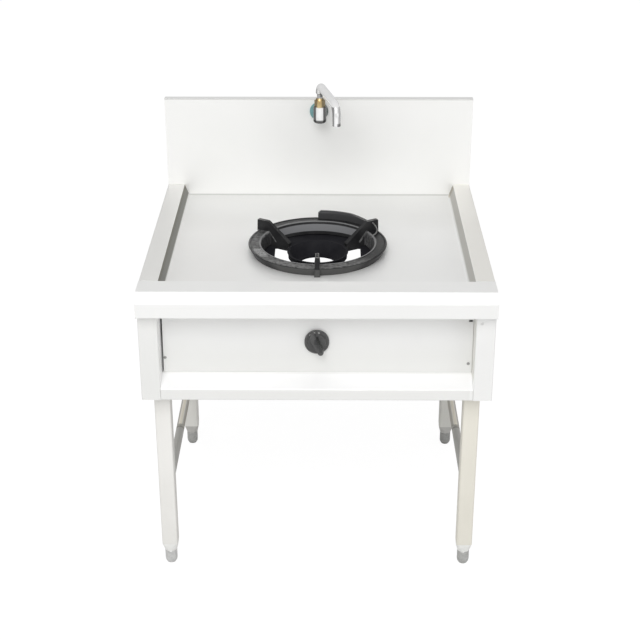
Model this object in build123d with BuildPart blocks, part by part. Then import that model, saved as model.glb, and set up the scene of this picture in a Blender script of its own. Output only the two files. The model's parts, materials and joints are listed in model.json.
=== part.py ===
from build123d import *
import math
import os

os.makedirs("parts", exist_ok=True)

# Gas wok range, free standing.  Millimetres.
# X runs to the cook's right, Y to the back, Z up from the floor.
# The origin is on the floor, under the centre of the range.

# ---------------------------------------------------------------- driving dimensions
overall_width = 850.0
overall_depth = 795.0
rim_height = 800.0
sheet = 1.5
bend = 3.0
seam = 0.3              # gap left between two sheets that meet
running = 0.05          # radial clearance of a shaft in its bearing

# worktop and front rim
rim_width = 46.0
pan_depth = 31.4
pan_wall_run = 12.6
front_rim_depth = 64.0
bevel_run = 27.0
bevel_drop = 20.0
nosing_height = 38.0

# backsplash
backsplash_rise = 248.2
backsplash_depth = 23.0
backsplash_lip = 12.0

# body
body_height = 231.4     # from the nosing's lower edge down to the body's
post_setback = 29.0
post_width = 46.7
post_return = 64.0
rail_face = 29.0
rail_bevel = 24.1
rail_lip = 28.0
panel_recess_top = 58.0
panel_recess_bottom = 48.0
panel_left_gap = 5.0    # between the control panel and the posts
panel_right_gap = 0.6
panel_flange = 14.0
edge_flange = 20.0
rear_flange = 30.0
rear_rail_height = 38.0
rear_rail_depth = 30.0
rear_rail_setback = 22.0    # leaves the way to the water inlet open from below

# frame under the worktop and over the legs
channel_width = 40.0
channel_spread = 200.0
angle_size = 38.0
angle_sheet = 3.0

# legs, stretchers and feet
leg_size = 40.0
leg_wall = 1.5
leg_corner = 5.0
leg_inset = 23.6
front_leg_setback = 70.5
rear_leg_inset = 67.5
leg_bottom = 63.0
leg_overlap = 37.4      # how far the legs run up inside the body
stretcher_diameter = 22.0
stretcher_height = 214.0
foot_diameter = 31.0
foot_height = 38.7
foot_base_diameter = 22.0
stud_diameter = 12.0
stud_length = 46.0
plug_insert = 26.0

# wok ring and burner bowl
ring_setback = 335.0    # behind the front edge of the rim flat
ring_outer = 177.7
ring_inner = 144.0
ring_height = 22.9
ring_draft = 11.0       # how far the outer wall leans in towards the worktop
ring_chamfer = 2.0
rim_fall = 7.0          # height of the sloping inner edge of the ring's top
cone_bottom_radius = 138.0
cone_clearance = 2.5    # between the cone and the bowl's shelf
cone_wall = 4.0
ring_wall = 5.0
horn_rise = 29.5
horn_top_inner = 147.0
horn_tip_radius = 83.0
horn_tip_drop = 21.0
horn_top_width = 9.0
horn_root_width = 17.0
horn_clearance = 0.4
horn_chamfer = 2.5
horn_proud = 2.0        # the back horns stand this far outside the ring
front_horn_proud = 1.0
guard_height = 20.3
guard_corner = 7.0
guard_width = 15.0
guard_from = 30.5
guard_to = 90.0
guard_fall_from = 85.0
guard_fall = 14.0
shelf_drop = 13.6       # from the pan down to the bowl's shelf
bowl_wall = 5.0
bowl_lip = 5.0
bowl_clearance = 10.0   # between the ring's inner edge and the bowl's outside
cup_gap = 4.5           # between the horns' tips and the cup's edge
cup_rise = 10.0         # above the bowl's shelf
cup_height = 38.0
cup_narrowing = 15.5
cup_wall = 5.0
cup_lip = 13.0
window_rim = 38.5       # shelf left between the bowl's wall and the windows' middle
window_ledge = 1.0      # shelf left around the cup
window_half_length = 52.0

# burner and gas train
burner_radius = 56.0
burner_height = 70.0
burner_foot = 29.4      # from the mixing tube's axis down to the burner's bottom
burner_shell = 7.0
burner_chamfer = 8.0
outer_port_ring = 34.7  # radius of each ring of ports
inner_port_ring = 16.8
port_diameter = 5.0
port_count = 16
mixer_diameter = 38.0
mixer_mouth = 54.0
mixer_length = 112.0
mixer_wall = 3.0
mixer_seat = 2.0        # how far the mixing tube stands in the burner's boss
crossbar_height = 36.0
stand_diameter = 24.0
valve_width = 36.0
valve_length = 46.0
valve_neck_diameter = 18.0
stem_diameter = 8.0
stem_depth = 18.0
neck_reach = 6.0
nut_radius = 14.0
nut_thickness = 4.0
supply_diameter = 21.3
supply_wall = 2.6
supply_inset = 31.4     # from the base angle's edge in to the supply pipe
supply_bend = 45.0
gas_thread = 10.48      # radius of a G1/2 male thread
fitting_hex = 8.0
fitting_thread = 13.0
bracket_foot = 12.0
pilot_diameter = 6.0
pilot_hood = 14.0
inlet_boss = 14.0
outlet_boss = 8.0
boss_length = 14.0
injector_length = 18.0
injector_radius = 10.0
air_gap = 5.0

# knob
knob_rise = 81.8        # above the control panel's lower edge
knob_diameter = 60.0
knob_skirt = 9.0
knob_gap = 1.0
grip_length = 56.0
grip_width = 17.0
grip_rise = 25.0
grip_tilt = 28.0

# tap
tap_rise = 214.6        # above the rims
tap_offset = 0.9
tap_flange_diameter = 50.8
tap_flange_thickness = 7.0
barrel_offset = 3.4
barrel_diameter = 35.5
barrel_below = 19.5
barrel_above = 26.0
barrel_reach = 45.0
shank_diameter = 21.0
shank_reach = 6.0
stem_seat = 32.0
collar_step = 3.0
collar_height = 4.0
nut_across = 25.5
nut_height = 23.7
spout_stem = 16.0
spout_neck = 13.5       # stem seen between the nut and the spout
spout_diameter = 22.0
spout_bore = 18.0
spout_reach = 170.0
spout_peak = 84.0
spout_fall = 10.0
spout_outlet = 22.0
spout_swing = 15.2
water_pipe_diameter = 12.0
water_pipe_drop = 369.6
water_thread = 6.58     # radius of a G1/4 male thread
water_hex = 14.0

# screws
screw_head = 7.5
screw_shank = 4.0
screw_length = 10.0
left_screw_inset = 3.9
left_screw_rise = 38.0
right_screw_inset = 9.2
right_screw_rise = 23.5
post_screw_inset = 12.7
post_screw_drop = 24.3
slot_inset = 6.9
slot_drop = 43.0
slot_length = 10.0
slot_width = 6.0

# ---------------------------------------------------------------- derived places
side_x = overall_width / 2
front_y = -overall_depth / 2
back_y = overall_depth / 2
rim_front_y = front_y + bevel_run
rim_back_y = rim_front_y + front_rim_depth
pan_z = rim_height - pan_depth
nosing_bottom = rim_height - bevel_drop - nosing_height
body_bottom = nosing_bottom - body_height
leg_top = body_bottom + leg_overlap
body_top = nosing_bottom - seam
backsplash_y = back_y - backsplash_depth
backsplash_top = rim_height + backsplash_rise
post_y = front_y + post_setback
post_inner_x = side_x - post_width
panel_top_y = post_y + panel_recess_top
panel_bottom_y = post_y + panel_recess_bottom
panel_bottom = body_bottom + rail_face + rail_bevel
panel_left = panel_left_gap - post_inner_x
panel_right = post_inner_x - panel_right_gap
leg_x = side_x - leg_inset - leg_size / 2
front_leg_y = front_y + front_leg_setback + leg_size / 2
rear_leg_y = back_y - rear_leg_inset - leg_size / 2
ring_y = rim_front_y + ring_setback
ring_top = pan_z + ring_height
bowl_shelf = pan_z - shelf_drop
knob_height = panel_bottom + knob_rise
tap_height = rim_height + tap_rise
water_pipe_bottom = tap_height - water_pipe_drop
angle_inner = leg_x - leg_size / 2
supply_side = angle_inner - supply_inset
panel_screw_places = [
    (panel_left + left_screw_inset, panel_bottom + left_screw_rise),
    (panel_right - right_screw_inset, panel_bottom + right_screw_rise),
]
post_screw_place = (post_inner_x + post_screw_inset, nosing_bottom - post_screw_drop)
slot_place = (panel_right - slot_inset, nosing_bottom - slot_drop)
inner_wall_x = side_x - sheet - seam


def save(piece, name):
    piece.label = name
    export_step(piece, f"parts/{name}.step")


def folded(plane, points, length, side):
    """A folded sheet: an open outline with bend radii, thickened to one side and drawn out."""
    with BuildPart() as piece:
        with BuildSketch(plane) as outline:
            with BuildLine():
                FilletPolyline(*points, radius=bend)
                offset(amount=sheet, side=side)
            make_face()
        extrude(outline.sketch, amount=length)
    return piece.part


def swept_tube(points, radius, diameter, bore):
    """A tube of straight runs and tangent bends through the given corners."""
    with BuildPart() as piece:
        with BuildLine() as path:
            FilletPolyline(*points, radius=radius)
        with BuildSketch(Plane(origin=path.line @ 0, z_dir=path.line % 0)):
            Circle(diameter / 2)
            if bore > 0:
                Circle(bore / 2, mode=Mode.SUBTRACT)
        sweep()
    return piece.part


# ---------------------------------------------------------------- worktop
across = Plane.XZ.offset(-(rim_back_y + seam))
worktop_length = backsplash_y - seam - rim_back_y - seam
pan_half = side_x - rim_width - pan_wall_run
worktop_outline = [
    (-side_x, nosing_bottom),
    (-side_x, rim_height),
    (-side_x + rim_width, rim_height),
    (-pan_half, pan_z),
    (pan_half, pan_z),
    (side_x - rim_width, rim_height),
    (side_x, rim_height),
    (side_x, nosing_bottom),
]
bowl_outer = ring_inner + bowl_clearance
with BuildPart() as worktop:
    add(folded(across, worktop_outline, -worktop_length, Side.RIGHT))
    with BuildSketch(Plane.XY.offset(pan_z - 2 * sheet)):
        with Locations((0, ring_y)):
            Circle(bowl_outer + seam)
    extrude(amount=4 * sheet, mode=Mode.SUBTRACT)
save(worktop.part, "worktop")

# front rim: flat, bevel, nosing, and a soffit back to the control panel
soffit_end = panel_top_y - 2 * seam
front_outline = [
    (rim_back_y, pan_z - sheet),
    (rim_back_y, rim_height),
    (rim_front_y, rim_height),
    (front_y, rim_height - bevel_drop),
    (front_y, nosing_bottom),
    (soffit_end, nosing_bottom),
]
end_outline = front_outline[1:5] + [(rim_back_y, nosing_bottom)]
with BuildPart() as front_rim:
    add(folded(Plane.YZ.offset(-side_x), front_outline, overall_width, Side.LEFT))
    with BuildSketch(Plane.YZ.offset(-side_x)) as rim_end:
        Polygon(*end_outline, align=None)
    extrude(rim_end.sketch, amount=sheet)
    with BuildSketch(Plane.YZ.offset(side_x)) as rim_other_end:
        Polygon(*end_outline, align=None)
    extrude(rim_other_end.sketch, amount=-sheet)
save(front_rim.part, "front_rim")

# ---------------------------------------------------------------- backsplash
splash_height = backsplash_top - nosing_bottom
splash_mid = (backsplash_top + nosing_bottom) / 2
with BuildPart() as backsplash:
    with BuildSketch(Plane.XZ.offset(-backsplash_y)):
        with Locations((0, splash_mid)):
            Rectangle(overall_width, splash_height)
    extrude(amount=-backsplash_depth)
    with BuildSketch(Plane.XZ.offset(-(backsplash_y + sheet))):
        with Locations((0, splash_mid - sheet)):
            Rectangle(overall_width - 2 * sheet, splash_height)
    extrude(amount=-(backsplash_depth - 2 * sheet), mode=Mode.SUBTRACT)
    with BuildSketch(Plane.XZ.offset(-(back_y - 2 * sheet))):
        with Locations((0, splash_mid - backsplash_lip)):
            Rectangle(overall_width - 2 * backsplash_lip, splash_height)
    extrude(amount=-3 * sheet, mode=Mode.SUBTRACT)
    with BuildSketch(Plane.XZ.offset(-backsplash_y)):
        with Locations((tap_offset, tap_height)):
            Circle(shank_diameter / 2 + seam)
    extrude(amount=-2 * sheet, mode=Mode.SUBTRACT)
    top_edges = backsplash.edges().filter_by(Axis.X).group_by(Axis.Z)[-1]
    fillet(top_edges, bend / 3)
save(backsplash.part, "backsplash")

# ---------------------------------------------------------------- side panels
side_outline = [
    (post_inner_x, post_y + post_return),
    (post_inner_x, post_y),
    (side_x, post_y),
    (side_x, back_y),
    (side_x - rear_flange, back_y),
]
side_height = body_top - body_bottom
flange_mid_y = (post_y + back_y) / 2
flange_length = back_y - post_y - 4 * sheet
notch_depth = post_y + post_return - (front_leg_y - leg_size / 2)
with BuildPart() as side_panel:
    add(folded(Plane.XY.offset(body_bottom), side_outline, side_height, Side.LEFT))
    for flange_z in (body_bottom, body_top - sheet):
        with BuildSketch(Plane.XY.offset(flange_z)):
            with Locations((side_x - edge_flange / 2 - sheet / 2, flange_mid_y)):
                Rectangle(edge_flange - sheet, flange_length)
        extrude(amount=sheet)
    with BuildSketch(Plane.XY.offset(body_bottom - sheet)):
        with Locations((post_inner_x, post_y + post_return - notch_depth / 2)):
            Rectangle(4 * bend, notch_depth + 4 * sheet)
    extrude(amount=leg_top + angle_sheet - body_bottom + 3 * sheet, mode=Mode.SUBTRACT)
save(mirror(side_panel.part, about=Plane.YZ), "side_panel_left")
with BuildPart() as side_panel_right:
    add(side_panel.part)
    with BuildSketch(Plane.XZ.offset(-post_y)):
        with Locations(post_screw_place):
            Circle(screw_shank / 2 + running)
    extrude(amount=-2 * sheet, mode=Mode.SUBTRACT)
save(side_panel_right.part, "side_panel_right")

# ---------------------------------------------------------------- control panel and rails
lean = math.degrees(math.atan2(panel_top_y - panel_bottom_y, nosing_bottom - panel_bottom))
panel_normal = (0, -math.cos(math.radians(lean)), math.sin(math.radians(lean)))


def panel_plane(height, x=0.0):
    """The control panel's front face, with its origin at one height above the floor."""
    y = panel_bottom_y + (height - panel_bottom) * math.tan(math.radians(lean))
    return Plane(origin=(x, y, height), x_dir=(1, 0, 0), z_dir=panel_normal)


panel_width = panel_right - panel_left
panel_mid = (panel_left + panel_right) / 2
panel_slope = (body_top - panel_bottom - seam) / math.cos(math.radians(lean))
with BuildPart() as control_panel:
    with BuildSketch(panel_plane(panel_bottom + seam)):
        with Locations((panel_mid, panel_slope / 2)):
            Rectangle(panel_width, panel_slope)
    extrude(amount=-panel_flange)
    with BuildSketch(panel_plane(panel_bottom + seam).offset(-sheet)):
        with Locations((panel_mid, panel_slope / 2)):
            Rectangle(panel_width - 2 * sheet, panel_slope - 2 * sheet)
    extrude(amount=-panel_flange, mode=Mode.SUBTRACT)
    with BuildSketch(panel_plane(knob_height)):
        Circle(valve_neck_diameter / 2 + seam)
    extrude(amount=-2 * sheet, mode=Mode.SUBTRACT)
    with BuildSketch(panel_plane(slot_place[1], slot_place[0])):
        SlotOverall(slot_length, slot_width)
    extrude(amount=-2 * sheet, mode=Mode.SUBTRACT)
    for screw_x, screw_z in panel_screw_places:
        with BuildSketch(panel_plane(screw_z, screw_x)):
            Circle(screw_shank / 2 + running)
        extrude(amount=-2 * sheet, mode=Mode.SUBTRACT)
save(control_panel.part, "control_panel")

rail_flange_drop = panel_flange * math.tan(math.radians(lean))
rail_outline = [
    (panel_bottom_y + panel_flange, panel_bottom - rail_flange_drop),
    (panel_bottom_y, panel_bottom),
    (post_y, body_bottom + rail_face),
    (post_y, body_bottom),
    (post_y + rail_lip, body_bottom),
]
rail_half = post_inner_x - seam
bottom_rail = folded(Plane.YZ.offset(-rail_half), rail_outline, 2 * rail_half, Side.LEFT)
save(bottom_rail, "bottom_rail")

rear_rail_y = back_y - sheet - seam - rear_rail_setback
rear_rail_bottom = body_bottom + sheet + seam
rear_rail_outline = [
    (rear_rail_y - rear_rail_depth, rear_rail_bottom),
    (rear_rail_y, rear_rail_bottom),
    (rear_rail_y, rear_rail_bottom + rear_rail_height),
    (rear_rail_y - rear_rail_depth, rear_rail_bottom + rear_rail_height),
]
rear_half = inner_wall_x - bend
rear_base_rail = folded(Plane.YZ.offset(-rear_half), rear_rail_outline, 2 * rear_half, Side.LEFT)
save(rear_base_rail, "rear_base_rail")

# ---------------------------------------------------------------- frame
# angles along both sides: the legs end under them and the side panels are fixed to them
angle_front = front_leg_y - leg_size / 2
angle_length = rear_rail_y - rear_rail_depth - seam - angle_front
with BuildPart() as base_angle_right:
    with BuildSketch(Plane.XZ.offset(-angle_front)):
        with BuildLine():
            Polyline(
                (angle_inner, leg_top),
                (inner_wall_x, leg_top),
                (inner_wall_x, leg_top + angle_size),
                (inner_wall_x - angle_sheet, leg_top + angle_size),
                (inner_wall_x - angle_sheet, leg_top + angle_sheet),
                (angle_inner, leg_top + angle_sheet),
                close=True,
            )
        make_face()
    extrude(amount=-angle_length)
save(base_angle_right.part, "base_angle_right")
save(mirror(base_angle_right.part, about=Plane.YZ), "base_angle_left")

# channels across, on the side panels' top flanges, under the pan of the worktop
channel_base = body_top + seam
channel_top = pan_z - sheet
channel_places = {
    "front_channel": ring_y - channel_spread,
    "rear_channel": ring_y + channel_spread,
    "back_channel": backsplash_y - seam - channel_width / 2,
}
for channel_name, channel_y in channel_places.items():
    channel_outline = [
        (channel_y - channel_width / 2, channel_base),
        (channel_y - channel_width / 2, channel_top),
        (channel_y + channel_width / 2, channel_top),
        (channel_y + channel_width / 2, channel_base),
    ]
    channel = folded(Plane.YZ.offset(-inner_wall_x), channel_outline, 2 * inner_wall_x, Side.RIGHT)
    save(channel, channel_name)

# ---------------------------------------------------------------- legs, plugs and feet
corners = {
    "front_left": (-leg_x, front_leg_y),
    "front_right": (leg_x, front_leg_y),
    "rear_left": (-leg_x, rear_leg_y),
    "rear_right": (leg_x, rear_leg_y),
}
plug_bottom = foot_height + seam
for corner, place in corners.items():
    with BuildPart() as leg:
        with BuildSketch(Plane.XY.offset(leg_bottom)):
            with Locations(place):
                RectangleRounded(leg_size, leg_size, leg_corner)
                inside = leg_size - 2 * leg_wall
                RectangleRounded(inside, inside, leg_corner - leg_wall, mode=Mode.SUBTRACT)
        extrude(amount=leg_top - leg_bottom)
    save(leg.part, f"leg_{corner}")

    with BuildPart() as plug:
        with BuildSketch(Plane.XY.offset(leg_bottom)):
            with Locations(place):
                RectangleRounded(leg_size, leg_size, leg_corner)
        with BuildSketch(Plane.XY.offset(leg_bottom - (leg_bottom - plug_bottom) * 0.35)):
            with Locations(place):
                RectangleRounded(leg_size - 1, leg_size - 1, leg_size * 0.3)
        loft()
        with BuildSketch(Plane.XY.offset(leg_bottom - (leg_bottom - plug_bottom) * 0.35)):
            with Locations(place):
                RectangleRounded(leg_size - 1, leg_size - 1, leg_size * 0.3)
        with BuildSketch(Plane.XY.offset(plug_bottom)):
            with Locations(place):
                Circle(foot_diameter / 2 + 0.5)
        loft()
        with BuildSketch(Plane.XY.offset(leg_bottom)):
            with Locations(place):
                insert = leg_size - 2 * leg_wall - 2 * seam
                RectangleRounded(insert, insert, leg_corner - leg_wall)
        extrude(amount=plug_insert)
        with BuildSketch(Plane.XY.offset(plug_bottom)):
            with Locations(place):
                Circle(stud_diameter / 2 + running)
        extrude(amount=leg_bottom + plug_insert - plug_bottom, mode=Mode.SUBTRACT)
    save(plug.part, f"leg_plug_{corner}")

    foot_x, foot_y = place
    foot_plane = Plane(origin=(foot_x, foot_y, 0), x_dir=(1, 0, 0), z_dir=(0, -1, 0))
    with BuildPart() as foot:
        with BuildSketch(foot_plane) as foot_profile:
            with BuildLine():
                Polyline(
                    (0, 0),
                    (foot_base_diameter / 2, 0),
                    (foot_diameter / 2 - 1, foot_height * 0.16),
                    (foot_diameter / 2, foot_height * 0.3),
                    (foot_diameter / 2, foot_height - 2),
                    (foot_diameter / 2 - 2, foot_height),
                    (stud_diameter / 2, foot_height),
                    (stud_diameter / 2, foot_height + stud_length - 1),
                    (stud_diameter / 2 - 1, foot_height + stud_length),
                    (0, foot_height + stud_length),
                    close=True,
                )
            make_face()
        revolve(foot_profile.sketch, axis=Axis((foot_x, foot_y, 0), (0, 0, 1)))
    save(foot.part, f"foot_{corner}")

# side stretchers, cut square and welded between the front and rear legs
stretcher_start = front_leg_y + leg_size / 2 + seam
stretcher_length = rear_leg_y - leg_size / 2 - seam - stretcher_start
for side_name, stretcher_x in (("left", -leg_x), ("right", leg_x)):
    with BuildPart() as stretcher:
        with BuildSketch(Plane.XZ.offset(-stretcher_start)):
            with Locations((stretcher_x, stretcher_height)):
                Circle(stretcher_diameter / 2)
                Circle(stretcher_diameter / 2 - leg_wall, mode=Mode.SUBTRACT)
        extrude(amount=-stretcher_length)
    save(stretcher.part, f"stretcher_{side_name}")

# ---------------------------------------------------------------- wok ring
ring_bottom = pan_z + seam
cone_bottom = bowl_shelf + cone_clearance
ring_plane = Plane(origin=(0, ring_y, 0), x_dir=(1, 0, 0), z_dir=(0, -1, 0))
ring_axis = Axis((0, ring_y, 0), (0, 0, 1))
horn_bottom = bowl_shelf + horn_clearance


def horn(angle, reaches_worktop):
    """One upright that carries the wok, tapering from its root to its top edge."""
    out = Vector(math.cos(math.radians(angle)), math.sin(math.radians(angle)), 0)
    along = Vector(-out.Y, out.X, 0)
    radial = Plane(origin=(0, ring_y, 0), x_dir=out, z_dir=out.cross(Vector(0, 0, 1)))
    end_on = Plane(origin=(0, ring_y, 0), x_dir=along, z_dir=out)
    outer = ring_outer + (front_horn_proud if reaches_worktop else horn_proud)
    foot = ring_bottom if reaches_worktop else ring_top - 2
    foot_inner = ring_outer - 3 - (ring_draft if reaches_worktop else 0)
    top = ring_top + horn_rise
    with BuildPart() as piece:
        with BuildSketch(radial) as profile:
            with BuildLine():
                Polyline(
                    (outer, foot),
                    (outer, top - horn_chamfer),
                    (outer - horn_chamfer, top),
                    (horn_top_inner, top),
                    (horn_tip_radius, ring_top - horn_tip_drop),
                    (horn_tip_radius + 3, horn_bottom),
                    (cone_bottom_radius + 1, horn_bottom),
                    (ring_inner + 3, ring_top - 8),
                    (ring_outer - 3, ring_top - 3),
                    (foot_inner, foot),
                    close=True,
                )
            make_face()
        extrude(profile.sketch, amount=horn_root_width / 2, both=True)
        with BuildSketch(end_on) as taper:
            with BuildLine():
                Polyline(
                    (-horn_root_width / 2, horn_bottom),
                    (horn_root_width / 2, horn_bottom),
                    (horn_top_width / 2, top),
                    (-horn_top_width / 2, top),
                    close=True,
                )
            make_face()
        extrude(taper.sketch, amount=outer + 1, mode=Mode.INTERSECT)
    return piece.part


# raised guard at the back, from the middle of the ring to the right-hand horn
guard_start = Vector(math.cos(math.radians(guard_from)), math.sin(math.radians(guard_from)), 0)
guard_plane = Plane(
    origin=(0, ring_y, 0), x_dir=guard_start, z_dir=guard_start.cross(Vector(0, 0, 1))
)
with BuildPart() as guard:
    with BuildSketch(guard_plane) as guard_profile:
        with BuildLine():
            Polyline(
                (ring_outer - guard_width, ring_top - 2),
                (ring_outer - 1, ring_top - 2),
                (ring_outer - 1, ring_top + guard_height - 1.5),
                (ring_outer - 2.5, ring_top + guard_height),
                (ring_outer - guard_width + 5, ring_top + guard_height),
                (ring_outer - guard_width + 2, ring_top + guard_height - 4),
                close=True,
            )
        make_face()
    revolve(guard_profile.sketch, axis=ring_axis, revolution_arc=guard_to - guard_from)
    # its top falls towards the horn and its other corner is cut off
    with BuildSketch(Plane.XZ.offset(-(ring_y + horn_root_width))):
        with BuildLine():
            Polyline(
                (guard_fall_from, ring_top + guard_height),
                (ring_outer, ring_top + guard_height - guard_fall),
                (ring_outer, ring_top + guard_height + 1),
                (guard_fall_from, ring_top + guard_height + 1),
                close=True,
            )
        make_face()
        with BuildLine():
            Polyline(
                (-1, ring_top + guard_height - guard_corner),
                (guard_corner, ring_top + guard_height + 1),
                (-1, ring_top + guard_height + 1),
                close=True,
            )
        make_face()
    extrude(amount=-ring_outer, mode=Mode.SUBTRACT)

with BuildPart() as wok_ring:
    with BuildSketch(ring_plane) as ring_profile:
        with BuildLine():
            Polyline(
                (ring_outer - ring_draft, ring_bottom),
                (ring_outer, ring_top - ring_chamfer),
                (ring_outer - ring_chamfer, ring_top),
                (ring_inner + ring_chamfer, ring_top),
                (ring_inner, ring_top - rim_fall),
                (cone_bottom_radius, cone_bottom),
                (cone_bottom_radius + cone_wall, cone_bottom),
                (ring_inner + cone_wall + 1, ring_top - 12),
                (ring_inner + cone_wall + 3, ring_top - ring_wall),
                (ring_outer - ring_wall, ring_top - ring_wall),
                (ring_outer - ring_draft - ring_wall, ring_bottom),
                close=True,
            )
        make_face()
    revolve(ring_profile.sketch, axis=ring_axis)
    add(horn(30, False))
    add(horn(150, False))
    add(horn(270, True))
    add(guard.part)
save(wok_ring.part, "wok_ring")

# ---------------------------------------------------------------- burner bowl
cup_radius = horn_tip_radius - cup_gap
cup_top = bowl_shelf + cup_rise
cup_bottom = cup_top - cup_height
cup_bottom_radius = cup_radius - cup_narrowing
cup_lean = cup_narrowing / cup_height
cup_at_shelf = cup_radius - cup_rise * cup_lean
cup_hole = cup_bottom_radius - cup_lip
window_half_width = bowl_outer - bowl_wall - window_rim
with BuildPart() as burner_bowl:
    with BuildSketch(ring_plane) as bowl_profile:
        with BuildLine():
            Polyline(
                (bowl_outer + bowl_lip, pan_z),
                (bowl_outer + bowl_lip, pan_z + bowl_wall),
                (bowl_outer - bowl_wall, pan_z + bowl_wall),
                (bowl_outer - bowl_wall, bowl_shelf),
                (cup_at_shelf, bowl_shelf),
                (cup_radius, cup_top),
                (cup_radius - cup_wall, cup_top),
                (cup_bottom_radius - cup_wall, cup_bottom + cup_wall),
                (cup_hole, cup_bottom + cup_wall),
                (cup_hole, cup_bottom),
                (cup_bottom_radius, cup_bottom),
                (cup_at_shelf - bowl_wall * cup_lean, bowl_shelf - bowl_wall),
                (bowl_outer, bowl_shelf - bowl_wall),
                (bowl_outer, pan_z),
                close=True,
            )
        make_face()
    revolve(bowl_profile.sketch, axis=ring_axis)
    # the shelf is open on both sides of the cup, for air
    with BuildSketch(Plane.XY.offset(bowl_shelf + 1)) as windows:
        with Locations((0, ring_y)):
            Rectangle(2 * window_half_width, 2 * window_half_length)
            Circle(cup_at_shelf + window_ledge, mode=Mode.SUBTRACT)
    extrude(windows.sketch, amount=-(bowl_wall + 2), mode=Mode.SUBTRACT)
save(burner_bowl.part, "burner_bowl")

# ---------------------------------------------------------------- gas valve and knob
knob_plane = panel_plane(knob_height)
into = Vector(*panel_normal) * -1
valve_front = sheet + 2.0
valve_middle = knob_plane.origin + into * (valve_front + valve_length / 2)
valve_end = knob_plane.origin + into * (valve_front + valve_length + outlet_boss)
valve_y = valve_middle.Y
valve_z = valve_middle.Z
mixer_z = valve_end.Z
with BuildPart() as gas_valve:
    with BuildSketch(knob_plane.offset(-valve_front)):
        RectangleRounded(valve_width, valve_width, 5)
    extrude(amount=-valve_length)
    fillet(gas_valve.edges().filter_by(Axis.X).group_by(Axis.Y)[-1], 4)
    with BuildSketch(knob_plane.offset(-valve_front)):
        Circle(valve_neck_diameter / 2)
    extrude(amount=valve_front + neck_reach)
    with BuildSketch(knob_plane.offset(-(valve_front + valve_length))):
        Circle(valve_width * 0.3)
    extrude(amount=-outlet_boss)
    with BuildSketch(Plane.YZ.offset(valve_width / 2)):
        with Locations((valve_y, valve_z)):
            Circle(valve_width * 0.42)
    extrude(amount=inlet_boss)
    with BuildSketch(Plane.YZ.offset(-valve_width / 2)):
        with Locations((valve_y, valve_z)):
            Circle(pilot_diameter)
    extrude(amount=-outlet_boss)
    with BuildSketch(knob_plane.offset(neck_reach)):
        Circle(stem_diameter / 2 + running)
    extrude(amount=-(neck_reach + stem_depth), mode=Mode.SUBTRACT)
save(gas_valve.part, "gas_valve")

with BuildPart() as valve_nut:
    with BuildSketch(knob_plane.offset(running)):
        RegularPolygon(nut_radius, 6)
        Circle(valve_neck_diameter / 2 + running, mode=Mode.SUBTRACT)
    extrude(amount=nut_thickness)
save(valve_nut.part, "valve_nut")

knob_back = knob_plane.offset(knob_gap)
hub_depth = knob_skirt + grip_rise * 0.45
with BuildPart() as knob:
    with BuildSketch(knob_back):
        Circle(knob_diameter / 2)
    extrude(amount=knob_skirt)
    chamfer(knob.edges().filter_by(GeomType.CIRCLE).sort_by(Axis.Y)[0], 2.5)
    with BuildSketch(knob_back.offset(knob_skirt)):
        Circle(knob_diameter / 2 - 6)
    extrude(amount=grip_rise * 0.3, taper=18)
    with BuildSketch(knob_back.offset(knob_skirt - 1)):
        SlotOverall(grip_length, grip_width, rotation=90 + grip_tilt)
    extrude(amount=grip_rise + 1, taper=3)
    fillet(knob.faces().sort_by(Axis.Y)[0].edges(), 2)
    with BuildSketch(knob_back):
        Circle(nut_radius + 1.5)
    extrude(amount=neck_reach + 1, mode=Mode.SUBTRACT)
    with BuildSketch(knob_back):
        Circle(stem_diameter / 2 + running)
    extrude(amount=hub_depth, mode=Mode.SUBTRACT)
save(knob.part, "knob")

with BuildPart() as valve_stem:
    with BuildSketch(knob_plane.offset(-stem_depth + 1)):
        Circle(stem_diameter / 2)
    extrude(amount=stem_depth - 1 + knob_gap + hub_depth - 1)
save(valve_stem.part, "valve_stem")

# ---------------------------------------------------------------- burner
burner_bottom = mixer_z - burner_foot
burner_top = burner_bottom + burner_height
burner_front = ring_y - burner_radius
mixer_start = burner_front - boss_length + mixer_seat
mixer_end = mixer_start - mixer_length
with BuildPart() as burner_head:
    with BuildSketch(Plane.XY.offset(burner_bottom)):
        with Locations((0, ring_y)):
            Circle(burner_radius)
    extrude(amount=burner_height)
    chamfer(burner_head.edges().filter_by(GeomType.CIRCLE).sort_by(Axis.Z)[-1], burner_chamfer)
    with BuildSketch(Plane.XZ.offset(-ring_y)):
        with Locations((0, mixer_z)):
            Circle(mixer_diameter / 2 + 6)
    extrude(amount=burner_radius + boss_length)
    with BuildSketch(Plane.XY.offset(burner_bottom + burner_shell)):
        with Locations((0, ring_y)):
            Circle(burner_radius - burner_shell)
    extrude(amount=burner_height - 2 * burner_shell, mode=Mode.SUBTRACT)
    with BuildSketch(Plane.XZ.offset(-ring_y)):
        with Locations((0, mixer_z)):
            Circle(mixer_diameter / 2 - mixer_wall)
    extrude(amount=burner_radius + boss_length + 1, mode=Mode.SUBTRACT)
    with BuildSketch(Plane.XZ.offset(-(mixer_start + 1))):
        with Locations((0, mixer_z)):
            Circle(mixer_diameter / 2 + running)
    extrude(amount=boss_length + 1, mode=Mode.SUBTRACT)
    with BuildSketch(Plane.XY.offset(burner_top - 2 * burner_shell)):
        with Locations((0, ring_y)):
            with PolarLocations(outer_port_ring, port_count):
                Circle(port_diameter / 2)
            with PolarLocations(inner_port_ring, port_count // 2):
                Circle(port_diameter / 2)
    extrude(amount=3 * burner_shell, mode=Mode.SUBTRACT)
save(burner_head.part, "burner_head")

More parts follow.
